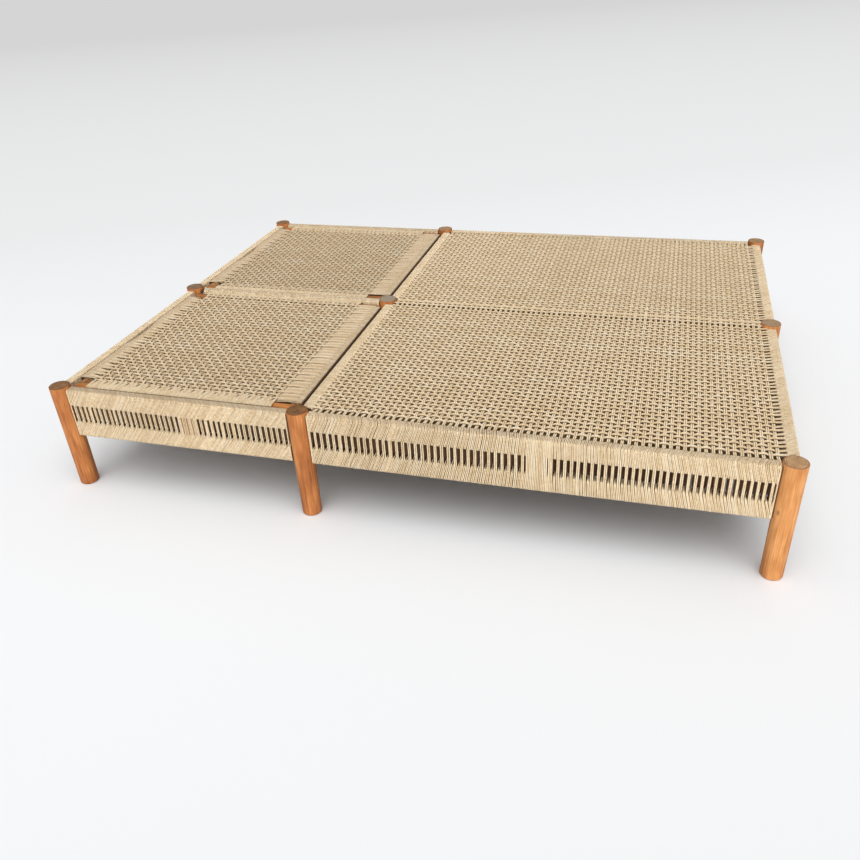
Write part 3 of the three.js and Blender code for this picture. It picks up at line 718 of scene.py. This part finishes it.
def make_rail_wraps():
    centre_left = Side((COLUMNS[0], 0), (COLUMNS[1], 0))
    wrap = even_wrap(centre_left, 0.3, lambda v, z: v * 0)
    cord_piece("centre_left_rail_wrap", "frame", [wrap], ["centre_left_rail_cord"])
    for label, low, high in (("front", ROWS[0], ROWS[1]), ("back", ROWS[1], ROWS[2])):
        wrap = even_wrap(Side((CROSS_RAIL_X, low), (CROSS_RAIL_X, high)))
        cord_piece(f"cross_rail_wrap_{label}", "frame", [wrap], [f"right_{label}_weave"])


# Woven mats
CROSSING_STEPS = 4
MAT_MIDDLE = 318 * MM
WRAP_TOP = 321 * MM
MAT_CORD = 2.02 * MM
WARP_SWING = 2.4 * MM
WEFT_SWING = 1.2 * MM
PAIR_HALF = 2.2 * MM
# RETURN_SHADE is painted shade on the returns under the mats, which darkens what shows through the holes.
RETURN_SHADE = 0.85
QUARTERS = "abcd"
BED_WARPS = (-197 * MM, 943.7 * MM, 71, 1.045)
BED_WEFTS = (-720.5 * MM, 720.5 * MM, 80)
BED_END = 747 * MM
RETURN_PITCH = 6.4 * MM
RETURN_LEVELS = (272.5 * MM, 276.3 * MM)


def spread(places):
    """The two cords of each pair, side by side."""
    return np.stack([places - PAIR_HALF, places + PAIR_HALF], -1).reshape(-1)


def over_under(share):
    """A cord's height beside a crossing: 1 at it and 0 half a pitch away."""
    wave = np.cos(np.pi * share)
    return np.tanh(2.1 * wave) / math.tanh(2.1)


def laid(axis, along, aside, z):
    """Points along x or y, aside on the other one, at the height z."""
    return np.stack([along, aside, z] if axis == "x" else [aside, along, z], -1)


def on_wraps(*places):
    """Places on top of a rail's wraps, with their height."""
    return [(place, WRAP_TOP) for place in places]


def strands(mine, crossings, parity, swing, ends, axis, raised, painted_shade_share=0.0):
    """Both cords of each pair at mine, along axis, woven over and under the pairs at crossings. ends
    gives the (place, height) lists before and after; raised gives the rise and the loss of swing at
    a place's y."""
    pitch = np.gradient(crossings)
    offsets = (np.arange(CROSSING_STEPS) + 0.5) / CROSSING_STEPS - 0.5
    along = (crossings[:, None] + pitch[:, None] * offsets[None]).reshape(-1)
    sign = np.where((np.arange(len(crossings)) + parity) % 2, 1.0, -1.0)
    wave = (sign[:, None] * over_under(offsets)[None]).reshape(-1)
    lateral = spread(mine)
    rise, calm = raised(along[None] if axis == "y" else lateral[:, None])
    woven = MAT_MIDDLE + rise + swing * (1 - calm) * wave[None]
    woven = np.broadcast_to(woven, (len(lateral), len(along)))
    before, after = ends
    lead = [np.full((len(lateral), 1), z) for _, z in before]
    tail = [np.full((len(lateral), 1), z) for _, z in after]
    z = np.concatenate(lead + [woven] + tail, 1)
    run = np.concatenate([[p for p, _ in before], along, [p for p, _ in after]])
    drift = np.repeat(wander(len(mine), len(run), 0.5 * MM, 6), 2, 0)
    drift = drift + wander(len(lateral), len(run), 0.2 * MM, 8)
    z = z + rng.normal(0, 0.12 * MM, z.shape)
    points = laid(axis, np.broadcast_to(run, drift.shape), lateral[:, None] + drift, z)
    tone = np.repeat(rng.random(len(mine)), 2) * 0.4 + rng.random(len(lateral)) * 0.6
    return {"points": points, "ups": UP, "wide": MAT_CORD, "flat": MAT_CORD * 0.94, "tone": tone,
            "edge": 0.6, "shade": painted_shade_share}


def straight_cords(places, axis, span, level):
    """Straight cords at places, along axis over the span: the returns on a mat's underside."""
    run = np.broadcast_to(np.linspace(*span, 14), (len(places), 14))
    aside = places[:, None] + wander(*run.shape, 0.5 * MM, 5)
    z = np.full(run.shape, level) + rng.normal(0, 0.2 * MM, run.shape)
    points = laid(axis, run, aside, z)
    return {"points": points, "ups": UP, "wide": CORD, "flat": CORD * 0.9,
            "tone": rng.random(len(places)), "shade": RETURN_SHADE}


def over_rail(y):
    """The bed's mat rides over the centre rail, where its weave is flatter."""
    share = smooth(np.abs(y), 28 * MM, 14 * MM)
    return share * 4.3 * MM, share * 0.38


def make_beds():
    """The weave of both beds, which runs on over the centre rail, in quarters of its cords."""
    nodes = ["right_front_weave", "right_back_weave"]
    warps, wefts = graded(*BED_WARPS), np.linspace(*BED_WEFTS)
    x_low, x_high = CROSS_RAIL_X + HALF, COLUMNS[2] - HALF
    warp_ends = on_wraps(-BED_END), on_wraps(BED_END)
    weft_ends = on_wraps(x_low - 1 * MM), on_wraps(x_high + 1 * MM)
    for part, label in enumerate(QUARTERS):
        warp = slice(part * len(warps) // 4, (part + 1) * len(warps) // 4)
        weft = slice(part * len(wefts) // 4, (part + 1) * len(wefts) // 4)
        warp_cords, weft_cords = [], []
        for parity in (0, 1):
            mine = warps[warp][(parity - warp.start) % 2::2]
            warp_cords.append(strands(mine, wefts, parity, WARP_SWING, warp_ends, "y", over_rail))
            mine = wefts[weft][(parity - weft.start) % 2::2]
            weft_cords.append(strands(mine, warps, parity + 1, WEFT_SWING, weft_ends, "x", over_rail))
        cord_piece(f"bed_warp_{label}", "frame", warp_cords, nodes)
        cord_piece(f"bed_weft_{label}", "frame", weft_cords, nodes)
    warp_level, weft_level = RETURN_LEVELS
    columns = evenly(x_low, x_high, RETURN_PITCH)
    lower_warps = straight_cords(columns, "y", (-746 * MM, 746 * MM), warp_level)
    clear = HALF + 3 * MM
    halves = evenly(-745 * MM, -clear, RETURN_PITCH), evenly(clear, 745 * MM, RETURN_PITCH)
    lower_wefts = straight_cords(np.concatenate(halves), "x", (x_low, x_high), weft_level)
    cord_piece("bed_returns", "frame", [lower_warps, lower_wefts], nodes)


# Backrest panels
SCOOP_RADIUS = (SCOOP_LENGTH ** 2 / 4 + SCOOP_DEPTH ** 2) / (2 * SCOOP_DEPTH)
WRAP_RADIUS = PANEL_RADIUS + CORD
INNER_EDGE_ROW = 14 * MM
OUTER_EDGE_ROW = 29 * MM
PANEL_ROWS = 36
PANEL_WARPS = 33
SIDE_DARK = 17.6 * MM
END_DARK = 15.5 * MM
END_SHADE = 0.36
# Painted shade on each panel's woven cords, more on the back one.
PANEL_PAINTED_SHADE = {"front": 0.1, "back": 0.23}

# Beside each dark dash: how far off its cords lie, how far they part and from where on
LEFT_DASHES = (2.5 * MM, 3.2 * MM, 0.05)
RIGHT_DASHES = (1.9 * MM, 2.5 * MM, 0.22)


def scoop_edge(y, centre_y):
    """How far the finger scoop cuts into the outer side of the left end rail at y."""
    inside = np.clip(SCOOP_RADIUS ** 2 - (y - centre_y) ** 2, 0, None)
    return np.clip(np.sqrt(inside) - (SCOOP_RADIUS - SCOOP_DEPTH), 0, None)


def round_loops(places, centre, axis, outward, reach, lit, cut=None, hollow=None, dark=None, drop=None):
    """Loops round a round rail along axis, whose other place is centre. They are squared off by
    reach towards the frame, which lies outward. cut gives how far each is pressed in there, and drop
    how much lower its top is; the hollow ones keep close to the rail, in the shade, on the mat's
    side. Past dark the loops are in the shade of a gap, and lit is the share of shade elsewhere."""
    angles = np.linspace(0, 2 * np.pi, 25)[:-1]
    c, s = np.cos(angles), np.sin(angles)
    towards = c * outward > 0.001
    power = np.where(towards & (s > 0), 0.26, 1.0)
    across = np.sign(c) * np.abs(c) ** power * np.where(towards, reach, WRAP_RADIUS)
    across = np.broadcast_to(across, (len(places), len(c))).copy()
    up = np.broadcast_to(np.sign(s) * np.abs(s) ** power * WRAP_RADIUS, across.shape).copy()
    if cut is not None:
        limit = (reach - cut)[:, None]
        across = np.where(towards[None], np.minimum(across * outward, limit) * outward, across)
    shade = np.full(across.shape, lit)
    if dark is not None:
        shade = np.where(across * outward > dark, 1.0, shade)
    if hollow is not None:
        matward = smooth(-c * outward, 0.05, 0.3) * (s > -0.2)
        push = 1 - hollow[:, None] * matward[None] * 0.08
        across, up = across * push, up * push
        shade = np.maximum(shade, hollow[:, None] * matward[None])
    if drop is not None:
        up -= drop[:, None] * (s > 0)
    across += rng.normal(0, 0.12 * MM, (len(places), 1))
    along = places[:, None] + wander(len(places), len(c), 0.2 * MM)
    ups = laid(axis, np.zeros_like(c), c, s)
    points = laid(axis, along, centre + across, HINGE_LEVEL + up)
    return {"points": points, "ups": ups, "wide": MAT_CORD * 1.06, "flat": CORD * 0.95,
            "closed": True, "tone": rng.random(len(places)), "shade": shade}


def row_cords(rows):
    """Cords of the bands beside the end rails: the pair of each row, the cords between two rows, and
    the middles of every second space, where the cords part and leave a dark dash."""
    middles = (rows[:-1] + rows[1:]) / 2
    closed, parted = middles[::2], middles[1::2]
    between = np.concatenate([closed - 3.4 * MM, closed, closed + 3.4 * MM])
    return spread(rows), between, parted


def band_cords(places, axis, rail, inner, shade, push=0.0, level=0.0, parting=0.1):
    """Cords from a rail's crest along the mat to inner, where they turn down. They run along axis, at
    places on the other one. push is how far each bends aside from the parting on, which is a share
    of the way, and level is how much higher they lie."""
    turn = np.sign(inner - rail)
    share = np.array([0, 0.12, 0.25, 0.45, 0.7, 0.86, 1, 1, 1])
    stops = rail + (inner - rail) * share + turn * np.array([0, 0, 0, 0, 0, 0, 0, 1.2, 1.5]) * MM
    levels = np.array([321, 321.2, 321.2, 321, 320.8, 320.2, 317, 309, 298]) * MM + level
    bend = smooth(share, parting, parting + 0.25) * np.array([1, 1, 1, 1, 1, 1, 0.6, 0.3, 0.3])
    run = np.broadcast_to(stops, (len(places), len(stops)))
    aside = places[:, None] + wander(*run.shape, 0.3 * MM, 3)
    aside = aside + np.broadcast_to(push, places.shape)[:, None] * bend
    z = levels - np.abs(aside - places[:, None]) * 0.35 + rng.normal(0, 0.15 * MM, run.shape)
    points = laid(axis, run, aside, z)
    ups = np.where(np.arange(len(stops))[:, None] < 6, UP, laid(axis, turn, 0, 0.3))
    return {"points": points, "ups": ups, "wide": MAT_CORD, "flat": MAT_CORD,
            "tone": rng.random(len(places)), "shade": shade}


def panel_piece(name, label, batches):
    cord_piece(f"{name}_panel_{label}", f"{name}_backrest", batches, [f"{name}_backrest_weave"])


def side_wraps(name, low, high, warps, rows):
    """The wraps of a panel's long rails, and the band of cords between the outer one and the weave."""
    middles = warps - (warps[1] - warps[0]) / 2
    between = np.concatenate([middles - 2.25 * MM, middles + 2.25 * MM, warps[-1:] + 6.5 * MM])
    along = np.concatenate([spread(warps), between])
    hollow = np.concatenate([np.zeros(2 * len(warps)), np.ones(len(between))])
    batches = []
    for y, outward, edge in ((low, -1, rows[0]), (high, 1, rows[-1])):
        if abs(y) < 2 * PANEL_INSET:
            batches.append(round_loops(along, y, "x", outward, 19.5 * MM, 0.0, hollow=hollow))
        else:
            batches.append(round_loops(along, y, "x", outward, 19 * MM, 0.0, dark=SIDE_DARK))
            batches.append(band_cords(between, "y", y, edge - outward * 1.5 * MM, 0.0))
    panel_piece(name, "wraps_sides", batches)


def end_wraps(name, low, high, rows):
    """The wraps of a panel's end rails, and the bands of cords between them and the weave."""
    pairs, between, parted = row_cords(rows)
    extra = np.concatenate([np.arange(low + 2 * MM, rows[0] - 5 * MM, 3.9 * MM),
                            np.arange(rows[-1] + 6 * MM, high, 3.9 * MM)])

    def drop(y):
        return np.clip(PANEL_RADIUS - np.minimum(y - low, high - y), 0, None) * 0.5

    batches = []
    left, right = PANEL_ENDS
    for x, outward, bare, reach, inner, dashes in (
            (left, -1, PANEL_RADIUS + BARE_CORNER, 19.3 * MM, PANEL_WRAP[0] - 8.5 * MM, LEFT_DASHES),
            (right, 1, 8 * MM, 17 * MM, PANEL_WRAP[1] - 2.5 * MM, RIGHT_DASHES)):
        beside, push, parting = dashes
        wrapped = low + bare + CORD, high - bare - CORD
        ends = np.concatenate([pairs, between, parted - beside, parted + beside, parted, extra])
        ends = within(ends, *wrapped)
        cut, dark = (scoop_edge(ends, (low + high) / 2), None) if outward < 0 else (None, END_DARK)
        batches.append(round_loops(ends, x, "y", outward, reach, END_SHADE, cut, dark=dark, drop=drop(ends)))
        band = within(np.concatenate([between, extra]), *wrapped)
        batches.append(band_cords(band, "x", x, inner, END_SHADE, level=-drop(band)[:, None]))
        middles = within(parted, *wrapped)
        aside = push * rng.uniform(0.3, 1, len(middles))
        for hand in (-1, 1):
            places = middles + hand * beside
            batches.append(band_cords(places, "x", x, inner, END_SHADE, hand * aside, -0.3 * MM, parting))
        # The cords under each dash carry full painted shade, so that the dash shows dark.
        under = np.concatenate([parted - 3.6 * MM, parted, parted + 3.6 * MM])
        batches.append(band_cords(within(under, *wrapped), "x", x, inner, 1.0, level=-5 * MM))
    panel_piece(name, "wraps_ends", batches)


def panel(name, row):
    """The cords of one backrest panel: the wraps of its four rails and the mat between them."""
    low, high = ROWS[row] + PANEL_INSET, ROWS[row + 1] - PANEL_INSET
    # The painted shade of this panel's woven cords.
    painted_shade_share = PANEL_PAINTED_SHADE[name]
    warps = np.linspace(PANEL_WRAP[0] + 9 * MM, PANEL_WRAP[1] - 9 * MM, PANEL_WARPS)
    margins = (OUTER_EDGE_ROW, INNER_EDGE_ROW) if low < ROWS[1] else (INNER_EDGE_ROW, OUTER_EDGE_ROW)
    rows = np.linspace(low + margins[0], high - margins[1], PANEL_ROWS)
    side_wraps(name, low, high, warps, rows)
    end_wraps(name, low, high, rows)

    def near_rails(y):
        share = smooth(np.minimum(y - low, high - y), 26 * MM, 14 * MM)
        return share * 2.4 * MM, share * 0.4

    warp_ends = on_wraps(low, low + 3 * MM), on_wraps(high - 3 * MM, high)
    left, right = PANEL_ENDS
    weft_end = on_wraps(right - 40 * MM, right - 14 * MM, right)
    whole = on_wraps(left, left + 14 * MM), weft_end
    corner = [(-904.5 * MM, 302 * MM), (-903.5 * MM, 314 * MM)], weft_end
    clear = PANEL_RADIUS + BARE_CORNER + CORD
    at_corner = (rows - low < clear) | (high - rows < clear)
    warp_cords, weft_cords = [], []
    for parity in (0, 1):
        mine = warps[parity::2]
        warp_cords.append(strands(mine, rows, parity, WARP_SWING, warp_ends, "y", near_rails, painted_shade_share))
        for ends, chosen in ((whole, ~at_corner), (corner, at_corner)):
            mine = rows[(np.arange(len(rows)) % 2 == parity) & chosen]
            if len(mine):
                weft_cords.append(strands(mine, warps, parity + 1, WEFT_SWING, ends, "x", near_rails, painted_shade_share))
    panel_piece(name, "warp", warp_cords)
    panel_piece(name, "weft", weft_cords)
    free = evenly(ROWS[row] + 90 * MM, ROWS[row + 1] - 90 * MM, 5.6 * MM)
    panel_piece(name, "returns", [straight_cords(free, "x", PANEL_ENDS, 283 * MM)])


# Wooden pieces
AGE = {"front_left": 0.9, "front_middle": 1.0, "front_right": 0.3, "centre_left": 1.0,
       "centre_middle": 0.6, "centre_right": 0.5, "back_left": 0.9, "back_middle": 0.6, "back_right": 0.6}
PALENESS = {"front_right": 0.9, "centre_right": 0.6}
GREY = {"centre_middle": 1.0, "centre_right": 0.4, "centre_left": 0.3}
KNOT = (-19 * MM, -21 * MM, 200 * KNOT_SQUASH * MM)
NO_KNOT = (1, 1, 1)


def lathe(name, body, profile, sides, place, turn, materials, face_slots=None):
    """A turned piece: profile is a list of (radius, height) from foot to top, closed at both ends,
    and face_slots gives the material of each ring of faces."""
    angles = np.arange(sides) * 2 * np.pi / sides
    profile = np.array(profile)
    rings = len(profile)
    verts = np.stack([profile[:, :1] * np.cos(angles), profile[:, :1] * np.sin(angles),
                      np.broadcast_to(profile[:, 1:], (rings, sides))], -1).reshape(-1, 3)
    face_slots = face_slots or [0] * (rings - 1)
    slots = np.concatenate([np.repeat(face_slots, sides), [face_slots[0], face_slots[-1]]])
    piece = mesh_object(name, verts, tube_faces(1, rings, False, 0, sides), materials)
    piece.data.polygons.foreach_set("material_index", slots.astype(np.int32))
    piece.matrix_world = Matrix.Translation(place) @ turn
    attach(piece, body)
    return piece


def arc(centre_radius, centre_height, radius, start, stop, count):
    angles = np.radians(np.linspace(start, stop, count))
    return [(centre_radius + radius * math.cos(a), centre_height + radius * math.sin(a)) for a in angles]


def post_profile():
    r, top = POST_RADIUS, POST_HEIGHT
    foot, lip, slim = 5 * MM, 1.6 * MM, 1.2 * MM
    profile = [(0.001, 0)] + arc(r - slim - foot, foot, foot, -90, 0, 6)
    heights = np.linspace(foot, top - lip, 14)[1:-1]
    profile += [(r - slim * (1 - h / top), h) for h in heights]
    return profile + arc(r - lip, top - lip, lip, 0, 90, 5) + [(r * 0.5, top), (0.001, top)]


def make_posts():
    profile = post_profile()
    faces = [0] * (len(profile) - 6) + [1] * 5
    materials, upright = [MATERIALS["post"], MATERIALS["end_grain"]], Matrix.Identity(4)
    for row_name, row in zip(("front", "centre", "back"), ROWS):
        for column_name, column in zip(("left", "middle", "right"), COLUMNS):
            key = f"{row_name}_{column_name}"
            place = column, row, 0
            post = lathe(f"post_{key}_turned", "frame", profile, 56, place, upright, materials, faces)
            mark(post, seed=rng.random(3) * 5, knot=KNOT if key == "front_right" else NO_KNOT,
                 age=AGE[key], paleness=PALENESS.get(key, 0.0), grey=GREY.get(key, 0.0))
            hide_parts("post_" + key)


def mark(piece, **values):
    """Gives every point of the piece the same named values, which its material reads."""
    count = len(piece.data.vertices)
    for name, value in values.items():
        kind = "FLOAT" if np.ndim(value) == 0 else "FLOAT_VECTOR"
        attribute(piece.data, name, kind, "POINT", np.tile(value, (count, 1)))


def make_panel_bars():
    """The two long round rails of each panel, with round ends."""
    start, stop = PANEL_BAR
    length, r = stop - start, PANEL_RADIUS
    profile = arc(0, r, r, -88, 0, 9)[:-1] + [(r, h) for h in np.linspace(r, length - r, 12)]
    profile += arc(0, length - r, r, 0, 88, 9)[1:]
    lay, materials = Matrix.Rotation(math.radians(90), 4, "Y"), [MATERIALS["stub"]]
    for name, row in (("front", 0), ("back", 1)):
        places = {"front_rail": ROWS[row] + PANEL_INSET, "rear_rail": ROWS[row + 1] - PANEL_INSET}
        for rail, y in places.items():
            place = start, y, HINGE_LEVEL
            bar = lathe(f"{name}_panel_{rail}", f"{name}_backrest", profile, 40, place, lay, materials)
            mark(bar, seed=rng.random(3) * 5)
            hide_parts(f"{name}_backrest_{rail}")


ALONG_Y = ("cross", "upper_rail_left", "lower_rail_left", "upper_rail_right", "lower_rail_right")


def cad_material(name):
    if "pin" in name or "prop" in name:
        return "steel"
    if "backrest" in name:
        return "panel_end"
    return "rail_y" if name.startswith(ALONG_Y) else "rail_x"


def finish_cad_nodes():
    """Materials of the CAD nodes that stay."""
    for name, node in frame["nodes"].items():
        if not node.hide_render:
            node.data.materials.clear()
            node.data.materials.append(MATERIALS[cad_material(name)])


# Stage and light
WORLD_STRENGTH = 0.49


def make_stage():
    """The floor, and a world that lights softly but looks as pale as the photograph's wall."""
    reach = 150.0
    verts = [(-reach, -reach, 0), (reach, -reach, 0), (reach, reach, 0), (-reach, reach, 0)]
    mesh_object("floor", verts, [np.arange(4)[None]], [floor_material()])
    n = Nodes("world", "worlds")
    path = n.add("LightPath").outputs
    seen = n.math("MAXIMUM", path["Is Camera Ray"], path["Is Glossy Ray"])
    seen = n.math("MAXIMUM", seen, path["Is Transmission Ray"])
    light = n.add("Background", {0: rgb(252, 253, 255), 1: WORLD_STRENGTH}).outputs[0]
    backdrop = n.add("Background", {0: rgb(242, 242, 242), 1: 1.0}).outputs[0]
    n.add("OutputWorld", {0: n.add("MixShader", {0: seen, 1: light, 2: backdrop}).outputs[0]})
    bpy.context.scene.world = n.owner


def add_sun(name, towards, strength, angle):
    data = bpy.data.lights.new(name, "SUN")
    data.energy = strength
    data.angle = math.radians(angle)
    sun = bpy.data.objects.new(name, data)
    sun.matrix_world = Vector(towards).to_track_quat("-Z", "Y").to_matrix().to_4x4()
    bpy.context.scene.collection.objects.link(sun)
    return sun


def light_only(sun, chosen):
    """Keeps a lamp off the floor and off all but the chosen pieces."""
    group = bpy.data.collections.new("lit_by_" + sun.name)
    for thing in bpy.context.scene.objects:
        if thing.type == "MESH" and thing.name != "floor" and chosen(thing.name):
            group.objects.link(thing)
    sun.light_linking.receiver_collection = group


def is_mat(name):
    """True for the cords of the beds and the panels, apart from the panels' returns."""
    return name.startswith("bed") or "_panel_w" in name


MATERIALS = {
    "cord": cord_material(),
    "post": post_material(),
    "stub": wood_material("stub_wood", *STUB_WOOD, 0.4, 0.45),
    "panel_end": wood_material("panel_end_wood", *END_RAIL_WOOD, 0.4, 0.5, "Y"),
    "rail_x": rail_material("rail_wood_x", "X"),
    "rail_y": rail_material("rail_wood_y", "Y"),
    "end_grain": end_grain_material(),
    "steel": steel_material(),
}

add_camera()
make_stage()
make_aprons()
make_rail_wraps()
make_beds()
panel("front", 0)
panel("back", 1)
make_posts()
make_panel_bars()
finish_cad_nodes()
add_sun("above", (-0.12, 0.4, -1.0), 1.78, 60)
light_only(add_sun("front", (-0.3, 0.9, -0.38), 2.08, 20), lambda name: not is_mat(name))
light_only(add_sun("mats", (0.25, 0.15, -1.0), 1.15, 15), is_mat)

bpy.context.scene.view_settings.view_transform = "Standard"

bpy.context.view_layer.update()
